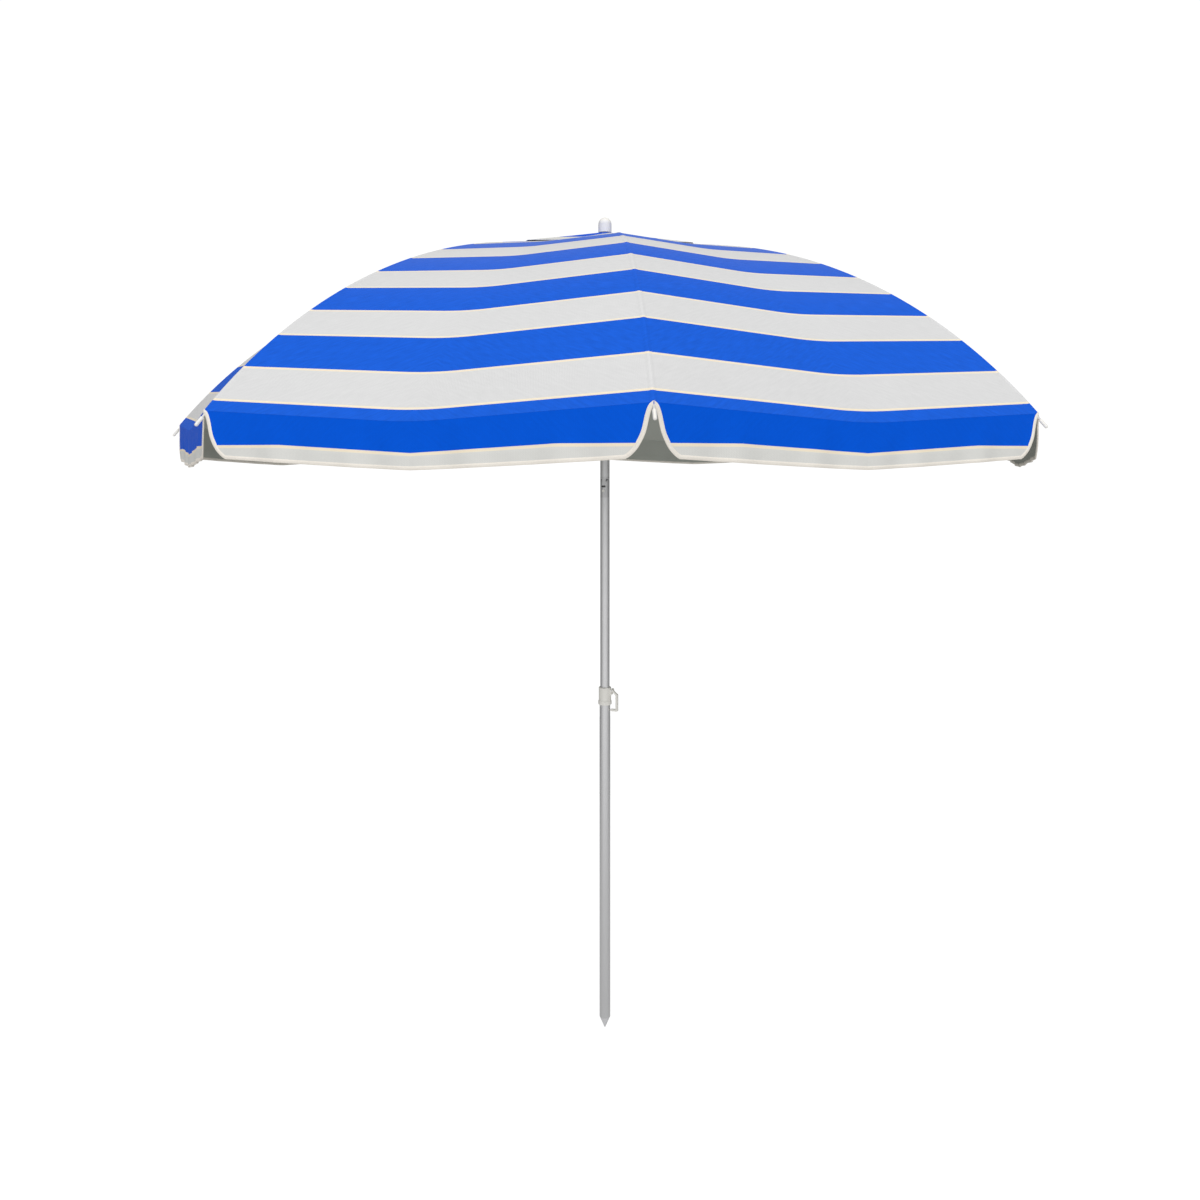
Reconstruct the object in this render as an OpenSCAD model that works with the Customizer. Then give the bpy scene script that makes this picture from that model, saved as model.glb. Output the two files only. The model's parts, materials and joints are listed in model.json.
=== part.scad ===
// Beach umbrella, millimetres.
// The pole axis is Z. Z = 0 is the bottom of the lower tube, where the ground spike starts.
// The eight ribs stand at 22.5 degrees + 45 degrees * k from -Y towards +X.

/* [Poles] */
// Outer radius of the lower tube
lower_r = 11; // [10.9:0.1:11.2]
// Outer radius of the inner tube and of the mast
inner_r = 9.5; // [9.5:0.1:9.5]
// Wall of all the tubes
tube_wall = 1; // [0.8:0.1:1]
// Length of the lower tube up to the neck that the collar fits over
lower_bare = 612; // [560:1:612]
// Length of the ground spike below the tube
spike_length = 22.5; // [15:0.5:60]

/* [Height collar] */
// Outer radius of the collar
collar_r = 12.6; // [12.2:0.1:13.2]
// Height of the collar's bottom edge
collar_bottom = 637.4; // [637:0.2:639]
// Height of the collar's top edge
collar_top = 673.2; // [672.6:0.2:675]

/* [Tilt joint] */
// Height of the bottom of the tilt joint
tilt_bottom = 1061; // [1055:1:1062]
// Height of the tilt axis
tilt_axis_z = 1089; // [1088:1:1092]
// Height of the release button
button_z = 1074.6; // [1072:0.1:1075]

/* [Canopy] */
// Distance from the pole axis to the canopy's corners
canopy_r = 847; // [820:1:860]
// Radius of the curve that the ribs are bent to
rib_curve_r = 934.4; // [930:0.1:940]
// Distance from the pole axis to the centre of that curve
curve_x = 123.8; // [120:0.1:126]
// Height of the centre of that curve
curve_z = 614.7; // [612:0.1:616]
// Distance from the axis at which the straight inner part of a rib ends
knee_r = 300; // [280:1:320]
// Radius of the vent opening in the main canopy
vent_r = 160; // [140:1:180]
// Radius of the vent cap at the ribs
cap_r = 220; // [210:1:230]
// How far the middle of a panel's rim hangs below the straight line between two ribs
rim_sag = 20; // [5:0.5:30]
// The same near the vent
inner_sag = 5; // [3:0.5:6]
// Thickness of the cloth solids
cloth = 1.2; // [0.8:0.1:1.6]
// Height of the valance's hem at the corners
hem_corner_z = 1142; // [1136:1:1144]
// Height of the valance's hem in the middle of a panel
hem_middle_z = 1125.5; // [1122:0.5:1130]

/* [Frame] */
// Radius of a rib rod
rib_r = 1.75; // [1.5:0.05:1.75]
// Distance from the axis to the rib at its stretcher joint
joint_r = 400; // [390:1:405]
// Length of a stretcher from the runner's ring to the rib's joint
stretcher_length = 430; // [420:1:440]
// How far a rib sticks out past the canopy's corner
tip_out = 25; // [22:1:30]

/* [Hidden] */
$fn = 48;

// Half the angle between two ribs, the running clearance, and a small overlap
half = 22.5;
gap = 0.05;
eps = 0.01;
bore_r = inner_r - tube_wall;
lower_bore = lower_r - tube_wall;

// The cloth's line over a rib: straight from the hub to the knee, then one arc.
knee_slope = asin((knee_r - curve_x) / rib_curve_r);
tip_slope = asin((canopy_r - curve_x) / rib_curve_r);
knee_z = curve_z + rib_curve_r * cos(knee_slope);
// Depth of a rib rod's centre line under the cloth
rib_drop = 3.6;
function arc_z(r) = curve_z + sqrt(pow(rib_curve_r, 2) - pow(r - curve_x, 2));
function cloth_z(r) = r < knee_r ? knee_z + (knee_r - r) * tan(knee_slope) : arc_z(r);
function slope(r) = r < knee_r ? knee_slope : asin((r - curve_x) / rib_curve_r);
function rib_point(r) = [r - rib_drop * sin(slope(r)), cloth_z(r) - rib_drop * cos(slope(r))];

// Hub and rib pivots
pivot_r = 22;
pivot_z = cloth_z(pivot_r) - rib_drop / cos(knee_slope);
ring_wire = 1;
ring_bore = 1.1;
slot_w = 4.4;
slot_r = 18.2;
eye_w = 3.6;

// Ribs: sleeves, the lug under the stretcher's joint, and the tip
sleeve_r = 2.15;
joint_sleeve_r = 2.6;
pivot_eye_r = 3.2;
lug_r = 3;
lug_w = 2;
tip_r = 2.6;
tip_start = 9;

// Runner and stretchers
ring_r = 24;
joint_drop = 6;
stretcher_r = 2;
fork_length = 9;
fork_w = 4.6;
fork_slot = 2.4;
fork_eye_r = 2.4;
rivet_r = 1.2;
rivet_bore = 1.25;
joint_slope = slope(joint_r);
joint_x = rib_point(joint_r)[0] - joint_drop * sin(joint_slope);
joint_z = rib_point(joint_r)[1] - joint_drop * cos(joint_slope);
ring_z = joint_z - sqrt(pow(stretcher_length, 2) - pow(joint_x - ring_r, 2));
stretcher_angle = asin((joint_z - ring_z) / stretcher_length);

// Tubes, from bottom to top
lower_top = 668;
neck_r = lower_r - 0.2;
plug_z = 268;
inner_bottom = 276;
mast_bottom = 1103;
mast_top = 1618;
finial_bottom = 1602.5;
finial_top = 1633.5;
finial_r = 13.5;
spike_insert = 25;
plug_insert = 15;
joint_insert = 20;

// Lever of the height collar
lever_x = 15.5;
lever_z = 667.5;
lever_bar_x = 25.6;
lever_tip_z = 627;
lever_w = 5;
lever_pin_r = 1.5;
lever_bore = 1.55;
lever_foot_r = 2.3;
ear_y = 3.8;
ear_t = 2.2;
ear_r = 3;
elbow_z = 658;
lock_hole_r = 2.5;
lock_tip_r = 1.4;

// Tilt joint
tongue_w = 4.1;
fork_gap = 4.2;
fork_round = 9.2;
tongue_round = 7;
fork_floor = tilt_axis_z - 7.3;
shoulder_z = tilt_axis_z + 9.5;
tilt_pin_r = 2.5;
button_r = 2.6;
button_flange_r = 3.2;
button_out = 1.4;
button_seat = 6.5;
spring_seat = 3;
flange_t = 1.5;

// ---------- cloth ----------

// How far the middle of a panel hangs below the line between two ribs, at distance r
sag_start = 380;
function sag(r) = inner_sag
    + (rim_sag - inner_sag) * max(0, min(1, (r - sag_start) / (canopy_r - sag_start)));

// A point of the cloth over the half panel beside a rib: t is 0 at the rib and 1 mid-panel.
function over(r, t) = [r * (1 - t * pow(sin(half), 2)), r * t * sin(half) * cos(half)];
function panel_point(r, t, off) = let(s = slope(r), p = over(r + off * sin(s), t))
    [p[0], p[1], cloth_z(r) - sag(r) * t + off * cos(s)];

// The vent cap's line over a rib, in two straight runs
cap_inner_r = 13.2;
cap_ridge_r = 97;
cap_top_z = 1600.6;
cap_ridge_z = 1580;
cap_hem_z = cloth_z(cap_r) + 6;
cap_sag = 9;
function cap_z(r) = r < cap_ridge_r
    ? cap_top_z + (cap_ridge_z - cap_top_z) * (r - cap_inner_r) / (cap_ridge_r - cap_inner_r)
    : cap_ridge_z + (cap_hem_z - cap_ridge_z) * (r - cap_ridge_r) / (cap_r - cap_ridge_r);
function cap_point(r, t, off) = let(p = over(r, t))
    [p[0], p[1], cap_z(r) - cap_sag * t * r / cap_r + off];

// The valance: side edge of the notch at a rib as [across, down], then the hem line
valance_edge = [
    [3, 4], [7, 11], [12.5, 35], [21, 51], [28, 61], [36, 66], [60, 90]
];
half_chord = canopy_r * sin(half);
function hem_z(t) = hem_middle_z + (hem_corner_z - hem_middle_z) * pow(1 - t, 1.15);
function seam_z(t) = cloth_z(canopy_r) - rim_sag * t - 1.4;
function edge_down(across) = lookup(across, valance_edge);
function valance_low(across) = max(
    hem_z(across / half_chord), cloth_z(canopy_r) - 1.4 - edge_down(across));
function valance_point(across, v, off) = let(t = across / half_chord, p = over(canopy_r, t))
    [
        p[0] + off * cos(half),
        p[1] + off * sin(half),
        seam_z(t) + v * (valance_low(across) - seam_z(t))
    ];

// A closed sheet: grid of points on the outer face, then the same grid on the inner face
module sheet(outer, inner) {
    rows = len(outer);
    cols = len(outer[0]);
    n = rows * cols;
    points = [for (face = [outer, inner]) for (row = face) for (p = row) p];
    skin = [for (i = [0 : rows - 2]) for (j = [0 : cols - 2]) let(a = i * cols + j)
        each [[a, a + 1, a + cols], [a + 1, a + cols + 1, a + cols]]];
    rim = concat(
        [for (j = [0 : cols - 2]) [j, j + 1]],
        [for (i = [0 : rows - 2]) [(i + 1) * cols - 1, (i + 2) * cols - 1]],
        [for (j = [cols - 1 : -1 : 1]) [(rows - 1) * cols + j, (rows - 1) * cols + j - 1]],
        [for (i = [rows - 1 : -1 : 1]) [i * cols, (i - 1) * cols]]
    );
    polyhedron(points, concat(
        skin,
        [for (f = skin) [f[0] + n, f[2] + n, f[1] + n]],
        [for (e = rim) each [[e[1], e[0], e[0] + n], [e[1], e[0] + n, e[1] + n]]]
    ));
}

edge_t = 0.004;
panel_bands = 4;
band_rows = 4;
band_gap = 0.3;

// The main panel, in bands one below the other so that each is nearly flat
module half_panel() {
    band_run = (canopy_r - vent_r) / panel_bands;
    for (band = [0 : panel_bands - 1]) {
        start = vent_r + band * band_run;
        radii = [for (i = [0 : band_rows]) start + (band_run - band_gap) * i / band_rows];
        sheet(
            [for (r = radii) [for (t = [edge_t, 1 - edge_t]) panel_point(r, t, cloth / 2)]],
            [for (r = radii) [for (t = [edge_t, 1 - edge_t]) panel_point(r, t, -cloth / 2)]]
        );
    }
}

module half_cap() {
    radii = [cap_inner_r, cap_ridge_r, cap_r];
    across = [0.03, 0.99];
    sheet(
        [for (r = radii) [for (t = across) cap_point(r, t, cloth / 2)]],
        [for (r = radii) [for (t = across) cap_point(r, t, -cloth / 2)]]
    );
}

module half_valance() {
    stops = concat([for (e = valance_edge) e[0]], [200, half_chord * 0.996]);
    sheet(
        [for (v = [0, 1]) [for (a = stops) valance_point(a, v, cloth / 2)]],
        [for (v = [0, 1]) [for (a = stops) valance_point(a, v, -cloth / 2)]]
    );
}

module half_gore() {
    half_panel();
    half_cap();
    half_valance();
}

// ---------- poles ----------

module tube(r, bore, low, high) {
    translate([0, 0, low])
        difference() {
            cylinder(r = r, h = high - low);
            translate([0, 0, -1]) cylinder(r = bore, h = high - low + 2);
        }
}

module lower_pole() {
    color("silver")
        difference() {
            union() {
                cylinder(r = lower_r, h = lower_bare);
                translate([0, 0, lower_bare - eps])
                    cylinder(r = neck_r, h = lower_top - lower_bare + eps);
            }
            translate([0, 0, -1]) cylinder(r = lower_bore, h = lower_top + 2);
            translate([0, 0, lever_tip_z]) rotate([0, 90, 0])
                cylinder(r = lock_hole_r, h = 2 * lower_r);
        }
}

module ground_spike() {
    color("gainsboro") {
        translate([0, 0, -spike_length]) cylinder(r1 = 1.2, r2 = lower_r - 0.1, h = spike_length);
        translate([0, 0, -eps]) cylinder(r = lower_bore - gap, h = spike_insert);
    }
}

// ---------- height collar and its lever ----------

module collar_ears() {
    for (side = [-1, 1]) {
        translate([collar_r - 2, side * ear_y - ear_t / 2, elbow_z])
            cube([lever_x - collar_r + 2, ear_t, 11]);
        translate([lever_x, side * ear_y, lever_z]) rotate([90, 0, 0])
            cylinder(r = ear_r, h = ear_t, center = true);
    }
}

module height_collar() {
    color("white")
        difference() {
            union() {
                rotate_extrude() polygon([
                    [0, collar_bottom], [collar_r - 0.4, collar_bottom],
                    [collar_r + 1.2, collar_bottom + 1.6], [collar_r + 1.2, collar_bottom + 7],
                    [collar_r, collar_bottom + 10], [collar_r, collar_top - 1],
                    [collar_r - 1, collar_top], [0, collar_top]
                ]);
                collar_ears();
            }
            translate([0, 0, collar_bottom - 1])
                cylinder(r = neck_r + gap, h = lower_top - collar_bottom + 1);
            translate([0, 0, lower_top - 1]) cylinder(r = inner_r + gap, h = 20);
            translate([lever_x, 0, lever_z]) rotate([90, 0, 0])
                cylinder(r = lever_bore, h = 14, center = true);
        }
}

module lever_pin() {
    color("silver")
        translate([lever_x, 0, lever_z]) rotate([90, 0, 0])
            cylinder(r = lever_pin_r, h = 10.4, center = true);
}

// A bar of the lever's outline between two points
module lever_bar(from, to, thick) {
    run = to - from;
    translate(from) rotate(atan2(run[1], run[0])) translate([0, -thick / 2])
        square([norm(run), thick]);
}

module lock_lever() {
    top = [lever_x, lever_z];
    elbow = [lever_bar_x, elbow_z];
    foot = [lever_bar_x, lever_tip_z];
    color("whitesmoke")
        union() {
            translate([0, lever_w / 2, 0]) rotate([90, 0, 0]) linear_extrude(height = lever_w)
                difference() {
                    union() {
                        translate(top) circle(r = 2.9);
                        lever_bar(top, elbow, 3.6);
                        translate(elbow) circle(r = lever_foot_r);
                        lever_bar(elbow, foot, 2 * lever_foot_r);
                        translate(foot) circle(r = lever_foot_r);
                        lever_bar(foot, [13.5, lever_tip_z], 4.2);
                    }
                    translate(top) circle(r = lever_bore);
                }
            translate([inner_r + 0.3, 0, lever_tip_z]) rotate([0, 90, 0])
                cylinder(r = lock_tip_r, h = 6);
        }
}

// ---------- inner pole and tilt joint ----------

module inner_pole() {
    color("silver") tube(inner_r, bore_r, inner_bottom, tilt_bottom);
}

module pole_plug() {
    color("dimgray") {
        translate([0, 0, plug_z]) cylinder(r = lower_bore - gap, h = inner_bottom - plug_z);
        translate([0, 0, inner_bottom - eps]) cylinder(r = bore_r - gap, h = plug_insert);
    }
}

module tilt_socket() {
    color("dimgray")
        difference() {
            union() {
                translate([0, 0, tilt_bottom - joint_insert])
                    cylinder(r = bore_r - gap, h = joint_insert + eps);
                translate([0, 0, tilt_bottom]) cylinder(r = inner_r, h = tilt_axis_z - tilt_bottom);
                intersection() {
                    cylinder(r = inner_r, h = 2 * tilt_axis_z);
                    translate([0, 0, tilt_axis_z]) rotate([0, 90, 0])
                        cylinder(r = fork_round, h = 2 * inner_r, center = true);
                }
            }
            translate([-fork_gap, -20, fork_floor]) cube([2 * fork_gap, 40, 40]);
            translate([0, 0, tilt_axis_z]) rotate([0, 90, 0])
                cylinder(r = tilt_pin_r + gap, h = 30, center = true);
            translate([0, 0, button_z]) rotate([90, 0, 0]) cylinder(r = button_r + gap, h = 20);
            translate([0, spring_seat, button_z]) rotate([90, 0, 0])
                cylinder(r = button_flange_r + gap, h = button_seat + spring_seat);
        }
}

module tilt_pin() {
    color("silver")
        translate([0, 0, tilt_axis_z]) rotate([0, 90, 0])
            cylinder(r = tilt_pin_r, h = 18.2, center = true);
}

module tilt_button() {
    color("gainsboro")
        translate([0, -button_seat, button_z]) rotate([90, 0, 0]) {
            translate([0, 0, -flange_t]) cylinder(r = button_flange_r, h = flange_t - gap);
            translate([0, 0, -1]) cylinder(r = button_r, h = inner_r + button_out - button_seat + 1);
        }
}

// A coil spring behind the button: rings of points along a helix
module button_spring() {
    turns = 5;
    steps = 16;
    sides = 6;
    wire = 0.3;
    coil = 2.2;
    low = button_seat - flange_t - wire - gap;
    count = turns * steps;
    pitch = (low + spring_seat - wire - gap) / turns;
    points = [for (i = [0 : count]) for (k = [0 : sides - 1])
        let(a = 360 * i / steps, b = 360 * k / sides, r = coil + wire * cos(b))
        [r * cos(a), -low + pitch * i / steps + wire * sin(b), button_z + r * sin(a)]];
    skin = [for (i = [0 : count - 1]) for (k = [0 : sides - 1])
        let(a = i * sides + k, b = i * sides + (k + 1) % sides)
        each [[a, b, a + sides], [b, b + sides, a + sides]]];
    ends = [[for (k = [sides - 1 : -1 : 0]) k], [for (k = [0 : sides - 1]) count * sides + k]];
    color("silver") polyhedron(points, concat(skin, ends));
}

module tilt_knuckle() {
    color("dimgray")
        difference() {
            union() {
                translate([0, 0, shoulder_z]) cylinder(r = inner_r, h = mast_bottom - shoulder_z);
                translate([0, 0, mast_bottom - eps]) cylinder(r = bore_r - gap, h = joint_insert);
                translate([-tongue_w, -tongue_round, tilt_axis_z])
                    cube([2 * tongue_w, 2 * tongue_round, shoulder_z - tilt_axis_z + eps]);
                translate([0, 0, tilt_axis_z]) rotate([0, 90, 0])
                    cylinder(r = tongue_round, h = 2 * tongue_w, center = true);
            }
            translate([0, 0, tilt_axis_z]) rotate([0, 90, 0])
                cylinder(r = tilt_pin_r + gap, h = 30, center = true);
        }
}

module mast_tube() {
    color("silver") tube(inner_r, bore_r, mast_bottom, mast_top);
}

// ---------- hub, runner, finial ----------

module slots(bottom, height, reach) {
    for (k = [0 : 7])
        rotate([0, 0, half + 45 * k - 90])
            translate([slot_r, -slot_w / 2, bottom]) cube([reach, slot_w, height]);
}

// The channel that the ring wire lies in, open at the top
module wire_channel(r, z) {
    rotate_extrude() {
        translate([r, z]) circle(r = ring_wire + gap);
        translate([r - ring_wire - gap, z]) square([2 * (ring_wire + gap), 12]);
    }
}

module hub() {
    color("white")
        difference() {
            rotate_extrude() polygon([
                [inner_r + gap, pivot_z - 10], [16, pivot_z - 10], [27, pivot_z - 6.5],
                [27, pivot_z + 4.5], [25.5, pivot_z + 5.5], [16, pivot_z + 5.5],
                [14, pivot_z + 10], [inner_r + gap, pivot_z + 10]
            ]);
            slots(pivot_z - 12, 30, 20);
            wire_channel(pivot_r, pivot_z);
        }
}

module hub_ring() {
    color("silver") translate([0, 0, pivot_z]) rotate_extrude() translate([pivot_r, 0])
        circle(r = ring_wire);
}

module runner() {
    color("white")
        difference() {
            rotate_extrude() polygon([
                [inner_r + 0.08, ring_z - 24], [13.5, ring_z - 24], [13.5, ring_z - 8],
                [16, ring_z - 5], [28.5, ring_z - 5], [28.5, ring_z + 4],
                [27.5, ring_z + 5], [14, ring_z + 5], [13, ring_z + 16],
                [inner_r + 0.08, ring_z + 16]
            ]);
            slots(ring_z - 10, 30, 20);
            wire_channel(ring_r, ring_z);
            translate([-4, -inner_r - 2.6, ring_z - 30]) cube([8, 4, 60]);
        }
}

module runner_ring() {
    color("silver") translate([0, 0, ring_z]) rotate_extrude() translate([ring_r, 0])
        circle(r = ring_wire);
}

module finial_cap() {
    color("whitesmoke")
        difference() {
            rotate_extrude() union() {
                translate([0, finial_bottom])
                    square([finial_r, finial_top - finial_bottom - finial_r]);
                intersection() {
                    translate([0, finial_top - finial_r]) circle(r = finial_r);
                    translate([0, finial_top - finial_r - eps]) square(2 * finial_r);
                }
            }
            translate([0, 0, finial_bottom - 1])
                cylinder(r = inner_r + gap, h = mast_top - finial_bottom + 1.2);
        }
}

// ---------- ribs and stretchers, each drawn in the +X half of the XZ plane ----------

module across_y(x, z, r, h) {
    translate([x, 0, z]) rotate([90, 0, 0]) cylinder(r = r, h = h, center = true);
}

// A rod along a straight line from a point, at an angle below the horizontal
module down_rod(from, angle, r, length) {
    translate([from[0], 0, from[1]]) rotate([0, 90 + angle, 0]) cylinder(r = r, h = length);
}

// A sleeve pressed round the rod, centred on it at distance r from the pole's axis
module rib_sleeve(r, sleeve_r, length) {
    down_rod(rib_point(r) - length / 2 * [cos(slope(r)), -sin(slope(r))], slope(r),
        sleeve_r, length);
}

module rib() {
    knee = rib_point(knee_r);
    corner = rib_point(canopy_r);
    color("silver")
        difference() {
            union() {
                across_y(pivot_r, pivot_z, pivot_eye_r, eye_w);
                down_rod([pivot_r, pivot_z], knee_slope, rib_r,
                    norm(knee - [pivot_r, pivot_z]));
                translate([curve_x, 0, curve_z]) rotate([90, 0, 0])
                    rotate([0, 0, 90 - tip_slope])
                        rotate_extrude(angle = tip_slope - knee_slope, $fn = 360)
                            translate([rib_curve_r - rib_drop, 0]) circle(r = rib_r, $fn = 24);
                down_rod(corner, tip_slope, rib_r, tip_out - 3);
                rib_sleeve(knee_r, sleeve_r, 8);
                rib_sleeve(canopy_r, sleeve_r, 8);
                rib_sleeve(joint_r, joint_sleeve_r, 16);
                translate([joint_x, 0, joint_z]) rotate([0, joint_slope, 0])
                    translate([-lug_r, -lug_w / 2, 0]) cube([2 * lug_r, lug_w, joint_drop]);
                across_y(joint_x, joint_z, lug_r, lug_w);
            }
            across_y(pivot_r, pivot_z, ring_bore, 10);
            across_y(joint_x, joint_z, rivet_bore, 10);
        }
}

module rib_tip() {
    corner = rib_point(canopy_r);
    start = corner + tip_start * [cos(tip_slope), -sin(tip_slope)];
    color("white")
        difference() {
            union() {
                down_rod(start, tip_slope, tip_r, tip_out - 12);
                translate([start[0], 0, start[1]]) rotate([0, 90 + tip_slope, 0])
                    translate([0, 0, tip_out - 12]) sphere(r = tip_r);
            }
            down_rod(start - [cos(tip_slope), -sin(tip_slope)], tip_slope, rib_r + gap,
                tip_out - 10.5);
        }
}

// The stretcher's lower end is a hook that the runner's ring rests in.
// It is drawn with the ring at the origin and the stretcher along +X.
module hook() {
    rotate([90, 0, 0]) translate([0, 0, -eye_w / 2])
        linear_extrude(height = eye_w) difference() {
            polygon([
                [-3.2, 1.2], [-3.2, -2], [-2, -3.2], [3, -3.2], [9, -1.9], [12, -1.9],
                [12, 1.9], [8.4, 1.9], [1.2, -1.9], [0, -1.9], [-1.6, 1.2]
            ]);
            circle(r = ring_bore);
        }
}

module stretcher() {
    color("silver")
        translate([ring_r, 0, ring_z]) rotate([0, -stretcher_angle, 0]) {
            difference() {
                union() {
                    hook();
                    translate([10, 0, 0]) rotate([0, 90, 0])
                        cylinder(r = stretcher_r, h = stretcher_length - 10 - fork_length + 2);
                    translate([stretcher_length - fork_length, -fork_w / 2, -fork_eye_r])
                        cube([fork_length, fork_w, 2 * fork_eye_r]);
                    across_y(stretcher_length, 0, fork_eye_r, fork_w);
                }
                translate([stretcher_length - 5, -fork_slot / 2, -5]) cube([10, fork_slot, 10]);
            }
            across_y(stretcher_length, 0, rivet_r, fork_w);
        }
}

// ---------- drawing ----------

module at_rib(k) {
    rotate([0, 0, half + 45 * (k - 1) - 90]) children();
}

lower_pole();
ground_spike();
height_collar();
lever_pin();
lock_lever();
inner_pole();
pole_plug();
tilt_socket();
tilt_pin();
tilt_button();
button_spring();
tilt_knuckle();
mast_tube();
hub();
hub_ring();
finial_cap();
runner();
runner_ring();
for (k = [1 : 8]) {
    at_rib(k) rib();
    at_rib(k) rib_tip();
    at_rib(k) stretcher();
    color("royalblue") at_rib(k) mirror([0, 1, 0]) half_gore();
    color("royalblue") at_rib(k) half_gore();
}
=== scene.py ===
import json
import math

import bpy
import numpy as np
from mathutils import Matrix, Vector


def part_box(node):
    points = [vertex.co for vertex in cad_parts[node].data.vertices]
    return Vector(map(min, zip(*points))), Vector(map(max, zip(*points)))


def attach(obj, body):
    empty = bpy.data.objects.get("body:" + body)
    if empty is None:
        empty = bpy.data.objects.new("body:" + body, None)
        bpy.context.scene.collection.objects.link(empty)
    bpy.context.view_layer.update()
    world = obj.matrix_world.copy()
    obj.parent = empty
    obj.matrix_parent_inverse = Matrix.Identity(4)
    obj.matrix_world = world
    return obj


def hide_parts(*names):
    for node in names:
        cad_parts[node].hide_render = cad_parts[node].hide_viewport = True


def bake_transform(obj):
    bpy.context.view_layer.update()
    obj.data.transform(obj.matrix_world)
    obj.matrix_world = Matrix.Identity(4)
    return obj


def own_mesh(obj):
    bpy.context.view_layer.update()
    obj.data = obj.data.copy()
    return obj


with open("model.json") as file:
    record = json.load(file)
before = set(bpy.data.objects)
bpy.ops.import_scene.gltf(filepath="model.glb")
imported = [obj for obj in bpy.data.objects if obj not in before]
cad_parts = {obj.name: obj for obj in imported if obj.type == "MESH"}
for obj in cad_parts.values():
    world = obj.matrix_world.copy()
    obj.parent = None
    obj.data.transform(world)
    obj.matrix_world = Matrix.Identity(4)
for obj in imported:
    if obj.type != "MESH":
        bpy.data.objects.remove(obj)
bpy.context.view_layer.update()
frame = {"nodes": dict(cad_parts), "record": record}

# ---------------------------------------------------------------- dimensions, in metres

RIBS = 8
HALF = math.pi / RIBS
SIDES = (("left", -1), ("right", 1))

# The cloth's line over a rib: straight from the hub to the knee, then one arc.
CORNER_R = 0.847
CURVE_R = 0.9344
CURVE_X = 0.1238
CURVE_Z = 0.6147
KNEE_R = 0.300
VENT_R = 0.160
CLOTH = 0.0007

# How far the middle of a panel hangs below the line between two ribs
RIM_SAG = 0.020
INNER_SAG = 0.005
SAG_START = 0.380
CREASE_ROUND = 0.14

# Stripes, measured along the rib from the valance's seam
FIRST_BLUE = 0.0195
WHITE_STRIPE = 0.0695
BLUE_STRIPE = 0.0735
EDGE_LINE = 0.0040

# Vent cap: blue up to CAP_BLUE_R, with a ridge where it turns down towards its hem
CAP_INNER_R = 0.0128
CAP_RIDGE_R = 0.097
CAP_R = 0.2205
CAP_TOP_Z = 1.6008
CAP_RIDGE_Z = 1.580
CAP_BLUE_R = 0.140
CAP_LIFT = 0.003
CAP_SAG = 0.0055

# Valance. The hem and the change from blue to white hang lower at mid-panel than at the corner;
# the change of colour is level up to BAND_LEVEL of the half chord.
HALF_CHORD = CORNER_R * math.sin(HALF)
HEM_CORNER_Z = 1.1420
HEM_MIDDLE_Z = 1.1255
HEM_CURVE = 1.15
BAND_CORNER_Z = 1.1585
BAND_MIDDLE_Z = 1.1470
BAND_LEVEL = 0.38
# Edge of the notch beside a rib, as distance from the rib and depth below the corner
NOTCH_EDGE = ((0, 0.003), (0.003, 0.0078), (0.006, 0.017), (0.0108, 0.036), (0.0188, 0.0515),
              (0.0268, 0.0605), (0.036, 0.0665), (0.048, 0.069))
# Binding: its width and thickness, its share beyond the edge, and how round its section is
BINDING = 0.0052
BINDING_THICK = 0.0026
BINDING_OVERHANG = 0.12
BINDING_ROUND = 0.9
HEM_FOLD = 0.019
HEM_FOLD_LAYERS = 2.4
# The valance is nowhere shorter than this, and its binding starts this far from the rib.
EDGE_GAP = 0.0004
# Waves of the hanging cloth: height, length and phase
RIPPLES = ((0.0016, 0.105, 0.6), (0.0012, 0.061, 2.0))
RIPPLE_DEPTH = 0.06
RIPPLE_POWER = 1.5

# Seam over a rib: its lift would fade to nothing SEAM_EDGE past its edges.
SEAM_HALF_WIDTH = 0.0045
SEAM_LIFT = 0.00055
SEAM_EDGE = 0.0001
SEAM_END_GAP = 0.001

KNEE_SLOPE = math.asin((KNEE_R - CURVE_X) / CURVE_R)
CORNER_SLOPE = math.asin((CORNER_R - CURVE_X) / CURVE_R)
KNEE_Z = CURVE_Z + CURVE_R * math.cos(KNEE_SLOPE)


def slope(r):
    """Angle of the cloth below the horizontal over a rib."""
    return np.where(r < KNEE_R, KNEE_SLOPE,
                    np.arcsin(np.clip((r - CURVE_X) / CURVE_R, -1, 1)))


def cloth_z(r):
    """Height of the cloth over a rib."""
    arc = CURVE_Z + np.sqrt(np.maximum(CURVE_R ** 2 - (r - CURVE_X) ** 2, 0))
    return np.where(r < KNEE_R, KNEE_Z + (KNEE_R - r) * math.tan(KNEE_SLOPE), arc)


CORNER_Z = float(cloth_z(CORNER_R))


def seam_distance(r):
    """Distance along the rib from the valance's seam up to radius r."""
    on_arc = CURVE_R * (CORNER_SLOPE - slope(r))
    straight = np.maximum(KNEE_R - r, 0) / math.cos(KNEE_SLOPE)
    return on_arc + straight


def sag(r):
    """How far the middle of a panel hangs below its ribs at radius r."""
    share = np.clip((r - SAG_START) / (CORNER_R - SAG_START), 0, 1)
    return INNER_SAG + (RIM_SAG - INNER_SAG) * share


def tent(t):
    """Share of the sag across a half panel: straight from the rib, rounded at the middle."""
    rounded = 1 - CREASE_ROUND / 2 - (1 - t) ** 2 / (2 * CREASE_ROUND)
    return np.where(t < 1 - CREASE_ROUND, t, rounded)


def over(r, t):
    """Plan position over a half panel, with the rib along +X: t is 0 at the rib, 1 mid-panel."""
    return r * (1 - t * math.sin(HALF) ** 2), r * t * math.sin(HALF) * math.cos(HALF)


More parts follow.
